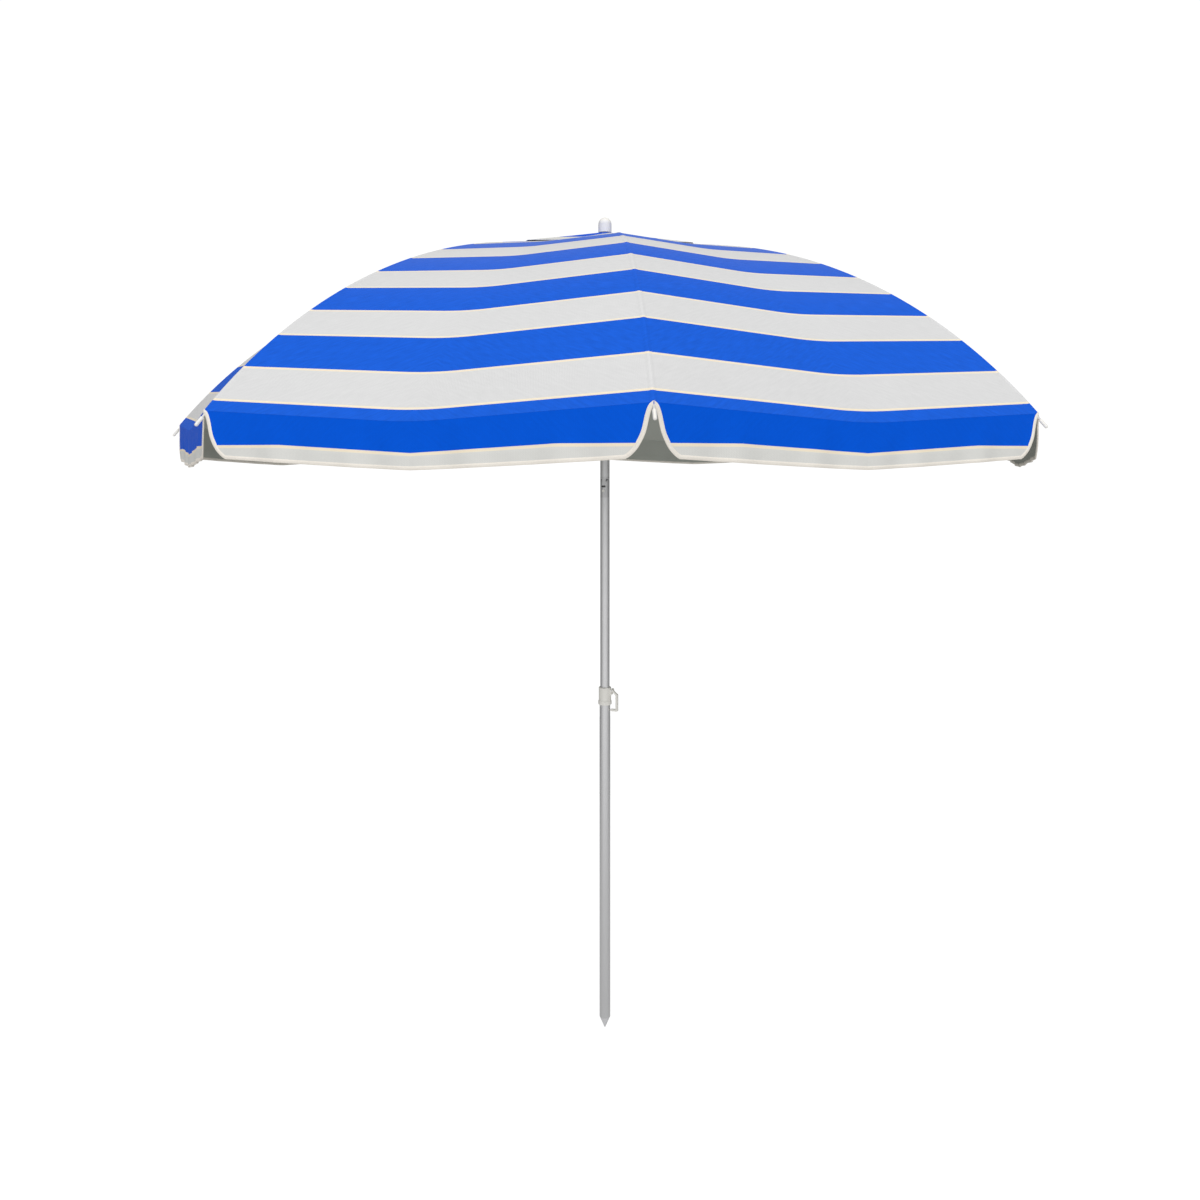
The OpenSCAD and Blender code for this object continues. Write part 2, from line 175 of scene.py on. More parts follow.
# ---------------------------------------------------------------- mesh helpers

def rib_angle(k):
    """Direction of rib k from +X."""
    return HALF + 2 * HALF * (k - 1) - math.pi / 2


def to_rib(points, k, side):
    """Turns points drawn with the rib along +X to rib k; side -1 mirrors them first."""
    a = rib_angle(k)
    p = np.array(points, float)
    y = p[..., 1] * side
    x = p[..., 0]
    return np.stack([x * math.cos(a) - y * math.sin(a),
                     x * math.sin(a) + y * math.cos(a), p[..., 2]], -1)


def grid_normals(p):
    """Unit normals of a grid of points, from its neighbours."""
    d0 = np.gradient(p, axis=0)
    d1 = np.gradient(p, axis=1)
    n = np.cross(d0, d1)
    length = np.linalg.norm(n, axis=-1, keepdims=True)
    return n / np.maximum(length, 1e-12)


def shell(name, p, thick, up, run, uv, weight=None, materials=()):
    """A closed sheet around the grid p. up is a direction that its outer face looks towards.
    run and uv are kept for the materials; weight is each point's share of the fold."""
    rows, cols = p.shape[:2]
    n = grid_normals(p)
    if np.sum(n * np.array(up)) < 0:
        n = -n
    half = (np.asarray(thick) / 2)[..., None] if np.ndim(thick) else thick / 2
    points = np.concatenate([(p + n * half).reshape(-1, 3), (p - n * half).reshape(-1, 3)])
    count = rows * cols
    index = np.arange(count).reshape(rows, cols)
    a, b = index[:-1, :-1].ravel(), index[:-1, 1:].ravel()
    c, d = index[1:, 1:].ravel(), index[1:, :-1].ravel()
    outer = np.stack([a, b, c, d], 1)
    facing = np.cross(points[outer[:, 1]] - points[outer[:, 0]],
                      points[outer[:, 3]] - points[outer[:, 0]])
    flip = np.sum(facing * (points[outer[:, 0]] - points[outer[:, 0] + count])) < 0
    if flip:
        outer = outer[:, ::-1]
    inner = outer[:, ::-1] + count
    loop = np.concatenate([index[0, :], index[1:, -1], index[-1, -2::-1], index[-2:0:-1, 0]])
    nxt = np.roll(loop, -1)
    rim = np.stack([nxt, loop, loop + count, nxt + count], 1)
    if flip:
        rim = rim[:, ::-1]
    faces = np.concatenate([outer, inner, rim])
    mesh = bpy.data.meshes.new(name)
    mesh.from_pydata(points.tolist(), [], faces.tolist())
    slots = np.concatenate([np.zeros(len(outer)), np.ones(len(inner)), np.zeros(len(rim))])
    for material in materials:
        mesh.materials.append(material)
    if len(materials) > 1:
        mesh.polygons.foreach_set("material_index", slots.astype(np.int32))
    smooth = np.concatenate([np.ones(len(outer) + len(inner)), np.zeros(len(rim))]).astype(bool)
    mesh.polygons.foreach_set("use_smooth", smooth)
    keep_on_points(mesh, "run", np.tile(run.ravel(), 2))
    layer = mesh.uv_layers.new(name="UVMap")
    corner = np.zeros(len(mesh.loops), np.int32)
    mesh.loops.foreach_get("vertex_index", corner)
    layer.data.foreach_set("uv", np.tile(uv.reshape(-1, 2), (2, 1))[corner].ravel())
    sharpen_rim(mesh, len(outer) + len(inner))
    mesh.update()
    obj = bpy.data.objects.new(name, mesh)
    bpy.context.scene.collection.objects.link(obj)
    if weight is not None:
        keep_on_points(mesh, "fold", np.tile(weight.ravel(), 2))
    return obj


def sharpen_rim(mesh, first_rim):
    """Marks the edges between a sheet's faces and its rim as sharp."""
    sharp = np.zeros(len(mesh.edges), bool)
    edge_of = {tuple(sorted(e.vertices)): e.index for e in mesh.edges}
    for face in list(mesh.polygons)[first_rim:]:
        v = list(face.vertices)
        for i in range(4):
            sharp[edge_of[tuple(sorted((v[i], v[(i + 1) % 4])))]] = True
    attribute = mesh.attributes.get("sharp_edge") or mesh.attributes.new(
        "sharp_edge", "BOOLEAN", "EDGE")
    attribute.data.foreach_set("value", sharp)


def keep_on_points(mesh, name, values):
    """Stores one number on each point of the mesh."""
    attribute = mesh.attributes.get(name) or mesh.attributes.new(name, "FLOAT", "POINT")
    attribute.data.foreach_set("value", np.asarray(values, np.float32))


def fold_with(obj):
    """Bakes the piece's placement into its mesh and reads back each point's share of the fold,
    which is its place between the rib and the crease. The piece is not turned or folded here."""
    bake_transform(obj)
    fold = np.zeros(len(obj.data.vertices), np.float32)
    obj.data.attributes["fold"].data.foreach_get("value", fold)


# ---------------------------------------------------------------- materials

WHITE = (1, 1, 1, 1)


class Nodes:
    """A short way to write the node tree of a material or a world."""

    def __init__(self, owner):
        owner.use_nodes = True
        self.tree = owner.node_tree

    def node(self, kind, inputs=(), **settings):
        """A new node: inputs holds each input's value or the socket linked to it."""
        made = self.tree.nodes.new(kind)
        for key, value in settings.items():
            setattr(made, key, value)
        for key, value in dict(inputs).items():
            self.put(made.inputs[key], value)
        return made

    def put(self, socket, value):
        if isinstance(value, bpy.types.NodeSocket):
            self.tree.links.new(value, socket)
        else:
            socket.default_value = value

    def math(self, operation, a, b=0.0, clamp=False):
        made = self.node("ShaderNodeMath", {0: a, 1: b}, operation=operation)
        made.use_clamp = clamp
        return made.outputs[0]

    def between(self, share, low, high):
        """From low at share 0 to high at share 1."""
        return self.math("ADD", self.math("MULTIPLY", share, high - low), low)

    def mix(self, factor, a, b, blend_type="MIX"):
        made = self.node("ShaderNodeMix", data_type="RGBA", blend_type=blend_type)
        self.put(made.inputs[0], factor)
        self.put(made.inputs[6], a)
        self.put(made.inputs[7], b)
        return made.outputs[2]

    def noise(self, scale, detail=2.0, vector=None, stretch=(1, 1, 1)):
        source = vector or self.node("ShaderNodeTexCoord").outputs["Object"]
        mapped = self.node("ShaderNodeMapping", {"Vector": source, "Scale": stretch})
        made = self.node("ShaderNodeTexNoise", {
            "Vector": mapped.outputs[0], "Scale": scale, "Detail": detail})
        return made.outputs["Fac"]


class Material(Nodes):
    """A new material, written around its Principled BSDF."""

    def __init__(self, name):
        self.material = bpy.data.materials.new(name)
        super().__init__(self.material)
        self.shader = self.tree.nodes["Principled BSDF"]

    def bump(self, height, distance, strength=1.0):
        made = self.node("ShaderNodeBump", {
            "Height": height, "Distance": distance, "Strength": strength})
        self.put(self.shader.inputs["Normal"], made.outputs[0])

    def set(self, **values):
        """Sets inputs of the shader, named with _ in place of each space."""
        for key, value in values.items():
            self.put(self.shader.inputs[key.replace("_", " ")], value)


def rgb(r, g, b):
    """A colour given in sRGB steps from 0 to 255, as the linear values that Blender holds."""
    linear = [(c / 255 / 12.92) if c <= 10 else ((c / 255 + 0.055) / 1.055) ** 2.4
              for c in (r, g, b)]
    return (*linear, 1.0)


# Cloth colours. Over a given run along the rib, from a given start upwards, the panels' blue is
# blended towards a paler blue. This is painted sheen: the haze the upper panels show when seen
# at a grazing angle, painted into the colour. The panels' blue is also a little paler than the
# valance's blue, from the same painted sheen.
PANEL_BLUE = rgb(25, 93, 211)
PAINTED_SHEEN_BLUE = rgb(78, 115, 211)
PAINTED_SHEEN_START = 0.12
PAINTED_SHEEN_RUN = 0.435
PAINTED_SHEEN_POWER = 2.5
PANEL_WHITE = rgb(214, 214, 214)
BAND_BLUE = rgb(0, 86, 214)
BAND_WHITE = rgb(216, 216, 212)
CREAM = rgb(238, 226, 204)

# Plain weave: a thread's width in metres, and the height of the weft next to the crossings
THREAD = 0.0011
WEFT_SHARE = 0.35
# Streaks of the twill: how many to a metre across and along them, their angle and their depth
STREAKS = (260, 50)
STREAK_ANGLE = math.radians(35)
PANEL_TWILL = 0.34
BAND_TWILL = 0.12
PALE_TWILL_LOSS = 0.7
# Brightness of the cloth: the part that is everywhere, and what each pattern adds to it
BASE_SHADE = 0.93
BLOTCH_SHADE = 0.06
GRAIN_SHADE = 0.08
WEAVE_SHADE = 0.03
# On the underside, the grain's share of the pattern; blotches are the rest.
UNDERSIDE_GRAIN = 0.4
# Heights of the cloth's relief, in metres
WEAVE_HEIGHT = 0.00012
CREASE_HEIGHT = 0.0016
UNDERSIDE_HEIGHT = 0.0001
TAPE_WEAVE_HEIGHT = 0.0002
TAPE_GRAIN_HEIGHT = 0.0003
# Roughness, from the least to the most
CLOTH_ROUGH = (0.58, 0.70)
UNDERSIDE_ROUGH = (0.55, 0.70)
TAPE_ROUGH = (0.70, 0.85)
TUBE_ROUGH = (0.30, 0.46)
TUBE_SCUFF_ROUGH = 0.10
PLASTIC_ROUGH = (0.38, 0.50)
STEEL_WEAR_ROUGH = 0.18
# How much lighter the plastic's clouds and how much darker the worn steel is
PLASTIC_CLOUD = 1.08
STEEL_WEAR = 0.86


def weave(n):
    """Height of a plain weave, from the cloth's own coordinates in metres."""
    uv = n.node("ShaderNodeUVMap", uv_map="UVMap").outputs[0]
    split = n.node("ShaderNodeSeparateXYZ", {0: uv})
    turn = math.pi / THREAD
    warp = n.math("SINE", n.math("MULTIPLY", split.outputs[0], turn))
    weft = n.math("SINE", n.math("MULTIPLY", split.outputs[1], turn))
    crossing = n.math("MULTIPLY", warp, weft)
    return n.math("ADD", n.math("MULTIPLY", weft, WEFT_SHARE), crossing)


def streaks(n):
    """Short diagonal streaks of the twill, from 0 to 1."""
    uv = n.node("ShaderNodeUVMap", uv_map="UVMap").outputs[0]
    turned = n.node("ShaderNodeVectorRotate", {"Vector": uv, "Angle": STREAK_ANGLE},
                    rotation_type="Z_AXIS")
    return n.noise(scale=1, detail=1, vector=turned.outputs[0], stretch=(*STREAKS, 1))


def blue_with_painted_sheen(n):
    """The panels' blue, paler towards the top: painted sheen, the grazing-angle haze of the
    upper panels painted into the colour.
    """
    past = n.math("SUBTRACT", run_value(n), PAINTED_SHEEN_START)
    share = n.math("DIVIDE", past, PAINTED_SHEEN_RUN, clamp=True)
    return n.mix(n.math("POWER", share, PAINTED_SHEEN_POWER), PANEL_BLUE, PAINTED_SHEEN_BLUE)


def plain_blue(_):
    """The blue of the valance and the vent cap, with no painted sheen."""
    return BAND_BLUE


def cloth_material(name, blue, pale, white_share, line_share, twill):
    """Printed polyester: blue and pale with a cream line along each change of colour.
    blue, white_share and line_share are functions that write their part of the node tree;
    twill is the depth of the streaks on the blue; the pale stripes have less."""
    n = Material(name)
    ribbing = weave(n)
    white = white_share(n)
    line = line_share(n)
    colour = n.mix(white, blue(n), pale)
    colour = n.mix(line, colour, CREAM)
    blotch = n.noise(scale=3, detail=3)
    fine = n.noise(scale=900, detail=2)
    shade = n.math("ADD", n.math("MULTIPLY", blotch, BLOTCH_SHADE),
                   n.math("MULTIPLY", fine, GRAIN_SHADE))
    shade = n.math("ADD", shade, n.math("MULTIPLY", ribbing, WEAVE_SHADE))
    streak_depth = n.between(white, twill, (1 - PALE_TWILL_LOSS) * twill)
    streak = n.math("SUBTRACT", streaks(n), 0.5)
    shade = n.math("ADD", shade, n.math("MULTIPLY", streak, streak_depth))
    shade = n.math("ADD", shade, BASE_SHADE)
    tint = n.node("ShaderNodeCombineColor", {0: shade, 1: shade, 2: shade}).outputs[0]
    n.set(Base_Color=n.mix(1.0, colour, tint, "MULTIPLY"),
          Roughness=n.between(fine, *CLOTH_ROUGH), Specular_IOR_Level=0.05,
          Sheen_Weight=0.05, Sheen_Roughness=0.28)
    creases = n.noise(scale=9, detail=3)
    height = n.math("ADD", n.math("MULTIPLY", ribbing, WEAVE_HEIGHT),
                    n.math("MULTIPLY", creases, CREASE_HEIGHT))
    n.bump(height, distance=1, strength=0.6)
    return n.material


def run_value(n):
    """The run kept on the points: on a panel, its distance from the valance's seam; on the
    valance and the vent cap, the distance into the blue from the change of colour."""
    return n.node("ShaderNodeAttribute", attribute_name="run").outputs["Fac"]


def past_first(n):
    """Distance past the first blue stripe, the one at the valance's seam."""
    return n.math("SUBTRACT", run_value(n), FIRST_BLUE)


def within_pair(n):
    """Distance within a pair of stripes, the white one first."""
    pair = WHITE_STRIPE + BLUE_STRIPE
    return n.math("MULTIPLY", n.math("FRACT", n.math("DIVIDE", past_first(n), pair)), pair)


def panel_white(n):
    """1 on the white stripes of the main panels, 0 on the blue ones."""
    return n.math("MULTIPLY", n.math("LESS_THAN", within_pair(n), WHITE_STRIPE),
                  n.math("GREATER_THAN", past_first(n), 0.0))


def panel_line(n):
    """1 on a thin line just inside each white stripe's two edges."""
    within = within_pair(n)
    from_edge = n.math("MINIMUM", within, n.math("SUBTRACT", WHITE_STRIPE, within))
    return n.math("MULTIPLY", n.math("LESS_THAN", from_edge, EDGE_LINE), panel_white(n))


def band_white(n):
    """1 on the pale part of the valance and the vent cap, 0 on the blue part."""
    return n.math("LESS_THAN", run_value(n), 0.0)


def band_line(n):
    """1 on the cream line just inside the pale part."""
    from_middle = n.math("ABSOLUTE", n.math("ADD", run_value(n), EDGE_LINE / 2))
    return n.math("LESS_THAN", from_middle, EDGE_LINE / 2)


def underside_material():
    """The coated grey inside of the cloth."""
    n = Material("cloth_underside")
    ribbing = weave(n)
    fine = n.noise(scale=600, detail=2)
    blotch = n.noise(scale=4, detail=3)
    share = n.math("ADD", n.math("MULTIPLY", fine, UNDERSIDE_GRAIN),
                   n.math("MULTIPLY", blotch, 1 - UNDERSIDE_GRAIN))
    n.set(Base_Color=n.mix(share, rgb(156, 159, 152), rgb(176, 179, 171)),
          Roughness=n.between(fine, *UNDERSIDE_ROUGH))
    n.bump(n.math("MULTIPLY", ribbing, UNDERSIDE_HEIGHT), distance=1, strength=0.5)
    return n.material


def binding_material():
    """Cotton tape, coarser than the cloth."""
    n = Material("binding_tape")
    fine = n.noise(scale=700, detail=2)
    n.set(Base_Color=n.mix(fine, rgb(226, 219, 208), rgb(248, 243, 234)),
          Roughness=n.between(fine, *TAPE_ROUGH))
    height = n.math("ADD", n.math("MULTIPLY", weave(n), TAPE_WEAVE_HEIGHT),
                    n.math("MULTIPLY", fine, TAPE_GRAIN_HEIGHT))
    n.bump(height, distance=1, strength=0.6)
    return n.material


def tube_material(name, colour, dark):
    """Drawn and anodised aluminium: fine lines along the tube, a few scuffs."""
    n = Material(name)
    lines = n.noise(scale=1, detail=4, stretch=(900, 900, 6))
    scuffs = n.noise(scale=30, detail=4)
    rough = n.math("ADD", n.between(lines, *TUBE_ROUGH),
                   n.math("MULTIPLY", scuffs, TUBE_SCUFF_ROUGH))
    n.set(Base_Color=n.mix(lines, dark, colour), Roughness=rough, Metallic=0.75)
    n.bump(lines, distance=0.00004, strength=0.5)
    return n.material


def plastic_material(name, colour):
    """Moulded plastic with a fine satin texture."""
    n = Material(name)
    cloud = n.noise(scale=25, detail=3)
    lighter = tuple(min(1, c * PLASTIC_CLOUD) for c in colour)
    n.set(Base_Color=n.mix(cloud, colour, lighter), Roughness=n.between(cloud, *PLASTIC_ROUGH))
    n.bump(n.noise(scale=1800, detail=2), distance=0.00003, strength=0.6)
    return n.material


def steel_material(name, colour, rough, metallic):
    """Painted or plated wire and rod."""
    n = Material(name)
    wear = n.noise(scale=60, detail=4)
    darker = (*(c * STEEL_WEAR for c in colour[:3]), 1.0)
    n.set(Base_Color=n.mix(wear, colour, darker),
          Roughness=n.between(wear, rough, rough + STEEL_WEAR_ROUGH), Metallic=metallic)
    n.bump(n.noise(scale=700, detail=3), distance=0.00003, strength=0.5)
    return n.material


# The panels' blue carries painted sheen: it is paler towards the top of the canopy.
panel_cloth = cloth_material("striped_cloth", blue_with_painted_sheen, PANEL_WHITE, panel_white, panel_line,
                             PANEL_TWILL)
band_cloth = cloth_material("banded_cloth", plain_blue, BAND_WHITE, band_white, band_line,
                            BAND_TWILL)
underside = underside_material()
tape = binding_material()
slot_materials = {
    "anodised_tube": tube_material("anodised_tube", rgb(218, 218, 219), rgb(206, 206, 207)),
    "spike_plastic": plastic_material("spike_plastic", rgb(212, 212, 214)),
    "white_plastic": plastic_material("white_plastic", rgb(232, 230, 224)),
    "grey_plastic": plastic_material("grey_plastic", rgb(70, 72, 74)),
    "grey_metal": tube_material("grey_metal", rgb(206, 206, 207), rgb(190, 190, 191)),
    "steel_wire": steel_material("steel_wire", rgb(190, 190, 192), rough=0.25, metallic=0.9),
    "rib_steel": steel_material("rib_steel", rgb(214, 214, 214), rough=0.35, metallic=0.2),
}

# ---------------------------------------------------------------- canopy

# Points of each sheet, along the rib (or down the valance) and across
PANEL_ROWS, PANEL_COLS = 72, 26
CAP_ROWS, CAP_COLS = 34, 14
SEAM_ROWS, SEAM_COLS = 90, 7
VALANCE_ROWS, VALANCE_COLS = 22, 43
BINDING_ROWS, BINDING_COLS = 6, 39
NOTCH_STEPS = 5

UP = (0, 0, 1)


def half_gore_grid(inner, outer, rows, cols):
    """Radius, and share of the way to mid-panel, for the points of half a gore."""
    return np.meshgrid(np.linspace(inner, outer, rows), np.linspace(0, 1, cols), indexing="ij")


def add_to_gore(obj, k, side):
    """The piece stands in for its half gore, which is hidden; its placement is baked into its
    mesh.
    """
    fold_with(obj)
    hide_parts(f"gore_{k}_{side}")


def make_panel(k, side, sign):
    """Half a gore's main panel, from the vent to the valance's seam."""
    r, t = half_gore_grid(VENT_R, CORNER_R, PANEL_ROWS, PANEL_COLS)
    x, y = over(r, t)
    p = np.stack([x, y, cloth_z(r) - sag(r) * tent(t)], -1)
    run = seam_distance(r)
    uv = np.stack([run, r * t * math.sin(HALF)], -1)
    obj = shell(f"panel_{k}_{side}", to_rib(p, k, sign), CLOTH, UP, run, uv, t,
                (panel_cloth, underside))
    add_to_gore(obj, k, side)


def smooth_points(points, steps):
    """Catmull-Rom curve through the given points."""
    p = np.array(points, float)
    p = np.concatenate([[2 * p[0] - p[1]], p, [2 * p[-1] - p[-2]]])
    out = []
    for i in range(1, len(p) - 2):
        for s in np.linspace(0, 1, steps, endpoint=False):
            a, b, c, d = p[i - 1], p[i], p[i + 1], p[i + 2]
            out.append(0.5 * (2 * b + (c - a) * s + (2 * a - 5 * b + 4 * c - d) * s * s
                              + (3 * b - a - 3 * c + d) * s ** 3))
    out.append(p[-2])
    return np.array(out)


NOTCH_CURVE = smooth_points(NOTCH_EDGE, NOTCH_STEPS)


def hem_z(across):
    """Height of the valance's hem line, without the notch."""
    t = np.clip(across / HALF_CHORD, 0, 1)
    return HEM_MIDDLE_Z + (HEM_CORNER_Z - HEM_MIDDLE_Z) * (1 - t) ** HEM_CURVE


def band_z(across):
    """Height of the change from blue to white on the valance."""
    t = np.clip((across / HALF_CHORD - BAND_LEVEL) / (1 - BAND_LEVEL), 0, 1)
    return BAND_CORNER_Z + (BAND_MIDDLE_Z - BAND_CORNER_Z) * t


def low_z(across):
    """Height of the valance's lower edge: the notch near the rib, then the hem."""
    notch = CORNER_Z - np.interp(across, NOTCH_CURVE[:, 0], NOTCH_CURVE[:, 1])
    notch_end = NOTCH_CURVE[-1, 0]
    return np.where(across < notch_end, np.maximum(notch, hem_z(across)), hem_z(across))


def ripple(across, depth):
    """How far the hanging cloth stands out, at a depth below its seam."""
    wave = sum(height * np.sin(across * 2 * math.pi / length + phase)
               for height, length, phase in RIPPLES)
    return wave * np.clip(depth / RIPPLE_DEPTH, 0, 1) ** RIPPLE_POWER


def seam_z(across):
    """Height of the seam between the panel and the valance."""
    return CORNER_Z - RIM_SAG * tent(np.clip(across / HALF_CHORD, 0, 1))


def valance_points(across, z):
    """Places of the valance's points, with the rib along +X."""
    t = np.clip(across / HALF_CHORD, 0, 1)
    x, y = over(CORNER_R, t)
    out = ripple(across, seam_z(across) - z)
    return np.stack([x + out * math.cos(HALF), y + out * math.sin(HALF), z], -1)


def outward(k, sign):
    """Direction that a half valance faces."""
    a = rib_angle(k) + sign * HALF
    return math.cos(a), math.sin(a), 0


def along_hem(count):
    """Places along a half valance: the notch's points, then count more up to mid-panel."""
    near = NOTCH_CURVE[:, 0]
    return np.concatenate([near, np.linspace(near[-1], HALF_CHORD, count + 1)[1:]])


def make_valance(k, side, sign):
    """Half a gore's valance, from the panel's seam down to the notch and the hem."""
    across = along_hem(VALANCE_COLS)[None, :] * np.ones((VALANCE_ROWS, 1))
    v = np.linspace(0, 1, VALANCE_ROWS)[:, None]
    top = seam_z(across)
    z = top + v * (np.minimum(low_z(across), top - EDGE_GAP) - top)
    p = valance_points(across, z)
    run = z - band_z(across)
    uv = np.stack([z, across], -1)
    thick = np.where(z < hem_z(across) + HEM_FOLD, CLOTH * HEM_FOLD_LAYERS, CLOTH)
    obj = shell(f"valance_{k}_{side}", to_rib(p, k, sign), thick, outward(k, sign), run, uv,
                across / HALF_CHORD, (band_cloth, underside))
    add_to_gore(obj, k, side)


def make_binding(k, side, sign):
    """The tape round the notch's edge and along the hem."""
    across = along_hem(BINDING_COLS)
    edge = np.stack([across, low_z(across)], -1)
    along = np.gradient(edge, axis=0)
    along /= np.linalg.norm(along, axis=1, keepdims=True)
    inward = np.stack([-along[:, 1], along[:, 0]], -1)
    inward[0] = inward[-1] = (0, 1)
    share = np.linspace(-BINDING_OVERHANG, 1, BINDING_ROWS)[:, None, None]
    q = edge[None] + inward[None] * share * BINDING
    q[..., 0] = np.clip(q[..., 0], EDGE_GAP, HALF_CHORD)
    p = valance_points(q[..., 0], q[..., 1])
    length = np.concatenate([[0], np.cumsum(np.linalg.norm(np.diff(edge, axis=0), axis=1))])
    uv = np.stack([np.broadcast_to(length, q.shape[:2]),
                   np.broadcast_to(share[..., 0] * BINDING, q.shape[:2])], -1)
    section = np.linspace(-BINDING_ROUND, BINDING_ROUND, BINDING_ROWS)[:, None]
    thick = BINDING_THICK * np.sqrt(1 - section ** 2) * np.ones(q.shape[:2])
    obj = shell(f"binding_{k}_{side}", to_rib(p, k, sign), thick, outward(k, sign),
                np.zeros(q.shape[:2]), uv, q[..., 0] / HALF_CHORD, (tape,))
    add_to_gore(obj, k, side)


def cap_z(r):
    """Height of the vent cap over a rib: one straight run to the ridge, then one to the hem."""
    hem = float(cloth_z(CAP_R)) + CAP_LIFT
    return np.interp(r, (CAP_INNER_R, CAP_RIDGE_R, CAP_R), (CAP_TOP_Z, CAP_RIDGE_Z, hem))


def make_cap(k, side, sign):
    """Half a gore's part of the vent cap, from the finial to the cap's hem."""
    r, t = half_gore_grid(CAP_INNER_R, CAP_R, CAP_ROWS, CAP_COLS)
    x, y = over(r, t)
    z = cap_z(r) - CAP_SAG * tent(t) * r / CAP_R
    p = np.stack([x, y, z], -1)
    run = CAP_BLUE_R - r
    uv = np.stack([r, r * t * math.sin(HALF)], -1)
    obj = shell(f"vent_cap_{k}_{side}", to_rib(p, k, sign), CLOTH, UP, run, uv, t,
                (band_cloth, underside))
    add_to_gore(obj, k, side)


def make_seam(k):
    """The felled seam along a rib: a narrow double layer over the joint of two panels."""
    r, across = np.meshgrid(np.linspace(VENT_R, CORNER_R - SEAM_END_GAP, SEAM_ROWS),
                            np.linspace(-SEAM_HALF_WIDTH, SEAM_HALF_WIDTH, SEAM_COLS),
                            indexing="ij")
    t = np.abs(across) / (r * math.sin(HALF))
    x, y = over(r, t)
    z = cloth_z(r) - sag(r) * tent(t)
    lift = SEAM_LIFT * np.sqrt(np.clip(1 - (across / (SEAM_HALF_WIDTH + SEAM_EDGE)) ** 2, 0, 1))
    x = x + lift * np.sin(slope(r))
    z = z + lift * np.cos(slope(r))
    p = np.stack([x, np.sign(across) * y, z], -1)
    run = seam_distance(r)
    uv = np.stack([run, across], -1)
    obj = shell(f"rib_seam_{k}", to_rib(p, k, 1), CLOTH, UP, run, uv, None,
                (panel_cloth, underside))
    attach(obj, f"rib_{k}_body")


for k in range(1, RIBS + 1):
    for side, sign in SIDES:
        make_panel(k, side, sign)
        make_valance(k, side, sign)
        make_binding(k, side, sign)
        make_cap(k, side, sign)
    make_seam(k)

# ---------------------------------------------------------------- carried-over CAD parts

for part in frame["record"]["subparts"]:
    chosen = slot_materials.get(part["material_slot"])
    if chosen is None:
        continue
    obj = frame["nodes"][part["node"]]
    if obj.material_slots:
        for slot in obj.material_slots:
            slot.material = chosen
    else:
        obj.data.materials.append(chosen)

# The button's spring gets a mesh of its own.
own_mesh(frame["nodes"]["button_spring"])

# ---------------------------------------------------------------- stage, light and camera

# The camera's height, and its distance and direction from the pole's axis
EYE_Z = 1.1395
EYE_DISTANCE = 1.986
EYE_AZIMUTH = math.radians(18.6)
# Strength of the surroundings, the floor's half size, and how bright the floor is to the pieces
FRONT_LIGHT = 1.15
BACK_LIGHT = 0.25
FLOOR_SIZE = 1.3
FLOOR_GLOW = 0.45
# Strength of the white that only the camera sees, and how high the surroundings' front looks
CAMERA_WHITE = 1.05
FRONT_RISE = 0.22
# Camera: lens in millimetres, and shift of the picture as a share of its width
LENS = 29.1
SHIFT_X = -0.0041
SHIFT_Y = -0.1175


def make_floor():
    """A pale floor at the spike's tip: white to the camera, dimmer to what it lights."""
    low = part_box("ground_spike")[0].z
    n = Material("floor")
    cloud = n.noise(scale=2, detail=2)
    seen = n.node("ShaderNodeLightPath").outputs["Is Camera Ray"]
    n.set(Base_Color=n.mix(cloud, rgb(120, 120, 120), rgb(122, 122, 122)), Roughness=0.9,
          Emission_Color=WHITE, Emission_Strength=n.between(seen, FLOOR_GLOW, 1.0))
    mesh = bpy.data.meshes.new("floor")
    corners = [(x * FLOOR_SIZE, y * FLOOR_SIZE, low)
               for x, y in ((-1, -1), (1, -1), (1, 1), (-1, 1))]
    mesh.from_pydata(corners, [], [(0, 1, 2, 3)])
    mesh.materials.append(n.material)
    floor = bpy.data.objects.new("floor", mesh)
    bpy.context.scene.collection.objects.link(floor)


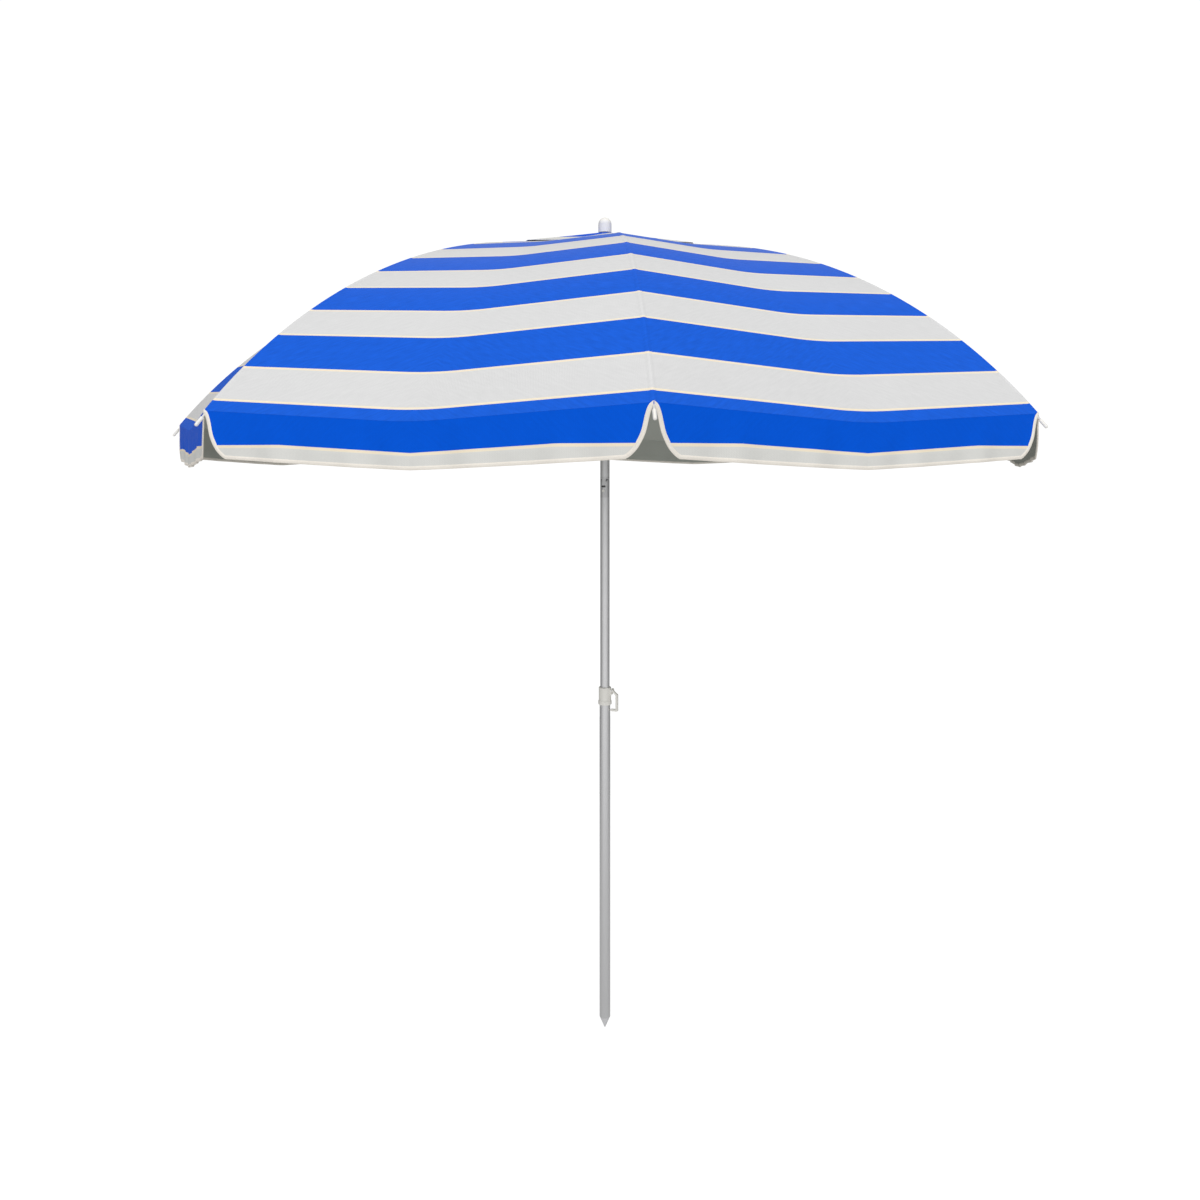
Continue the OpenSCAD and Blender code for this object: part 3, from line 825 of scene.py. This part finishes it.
def studio_light(n):
    """Strength of the surroundings: bright in front, darker at the sides and behind."""
    look = n.node("ShaderNodeTexCoord").outputs["Generated"]
    front = (math.sin(EYE_AZIMUTH), -math.cos(EYE_AZIMUTH), FRONT_RISE)
    facing = n.node("ShaderNodeVectorMath", {0: look, 1: front}, operation="DOT_PRODUCT")
    ramp = n.node("ShaderNodeMapRange", {
        "Value": facing.outputs["Value"], "From Min": -0.1, "From Max": 1.0,
        "To Min": BACK_LIGHT, "To Max": FRONT_LIGHT}, interpolation_type="SMOOTHSTEP")
    return ramp.outputs["Result"]


def make_world():
    """White to the camera; the pieces are lit by the studio's front-to-back light."""
    world = bpy.data.worlds.new("studio")
    n = Nodes(world)
    studio = n.tree.nodes["Background"]
    n.put(studio.inputs["Color"], WHITE)
    n.put(studio.inputs["Strength"], studio_light(n))
    white = n.node("ShaderNodeBackground", {"Color": WHITE, "Strength": CAMERA_WHITE})
    seen = n.node("ShaderNodeLightPath").outputs["Is Camera Ray"]
    mix = n.node("ShaderNodeMixShader", {0: seen, 1: studio.outputs[0], 2: white.outputs[0]})
    n.put(n.tree.nodes["World Output"].inputs["Surface"], mix.outputs[0])
    bpy.context.scene.world = world


def make_light(name, place, target, size, power):
    """A round lamp; size is its diameter in metres, power is in watts."""
    data = bpy.data.lights.new(name, "AREA")
    data.shape = "DISK"
    data.size = size
    data.energy = power
    light = bpy.data.objects.new(name, data)
    light.location = place
    aim = Vector(target) - Vector(place)
    light.rotation_euler = aim.to_track_quat("-Z", "Y").to_euler()
    bpy.context.scene.collection.objects.link(light)


def make_camera():
    """The photo's camera, level and turned towards the pole."""
    data = bpy.data.cameras.new("camera")
    data.sensor_width = 36
    data.lens = LENS
    data.shift_x = SHIFT_X
    data.shift_y = SHIFT_Y
    camera = bpy.data.objects.new("camera", data)
    camera.location = (EYE_DISTANCE * math.sin(EYE_AZIMUTH),
                       -EYE_DISTANCE * math.cos(EYE_AZIMUTH), EYE_Z)
    camera.rotation_euler = (math.pi / 2, 0, EYE_AZIMUTH)
    bpy.context.scene.collection.objects.link(camera)
    bpy.context.scene.camera = camera


make_floor()
make_world()
make_light("key", place=(0.7, -1.6, 4.6), target=(0, 0, 1.4), size=2.6, power=52)
make_camera()
bpy.context.scene.view_settings.view_transform = "Standard"
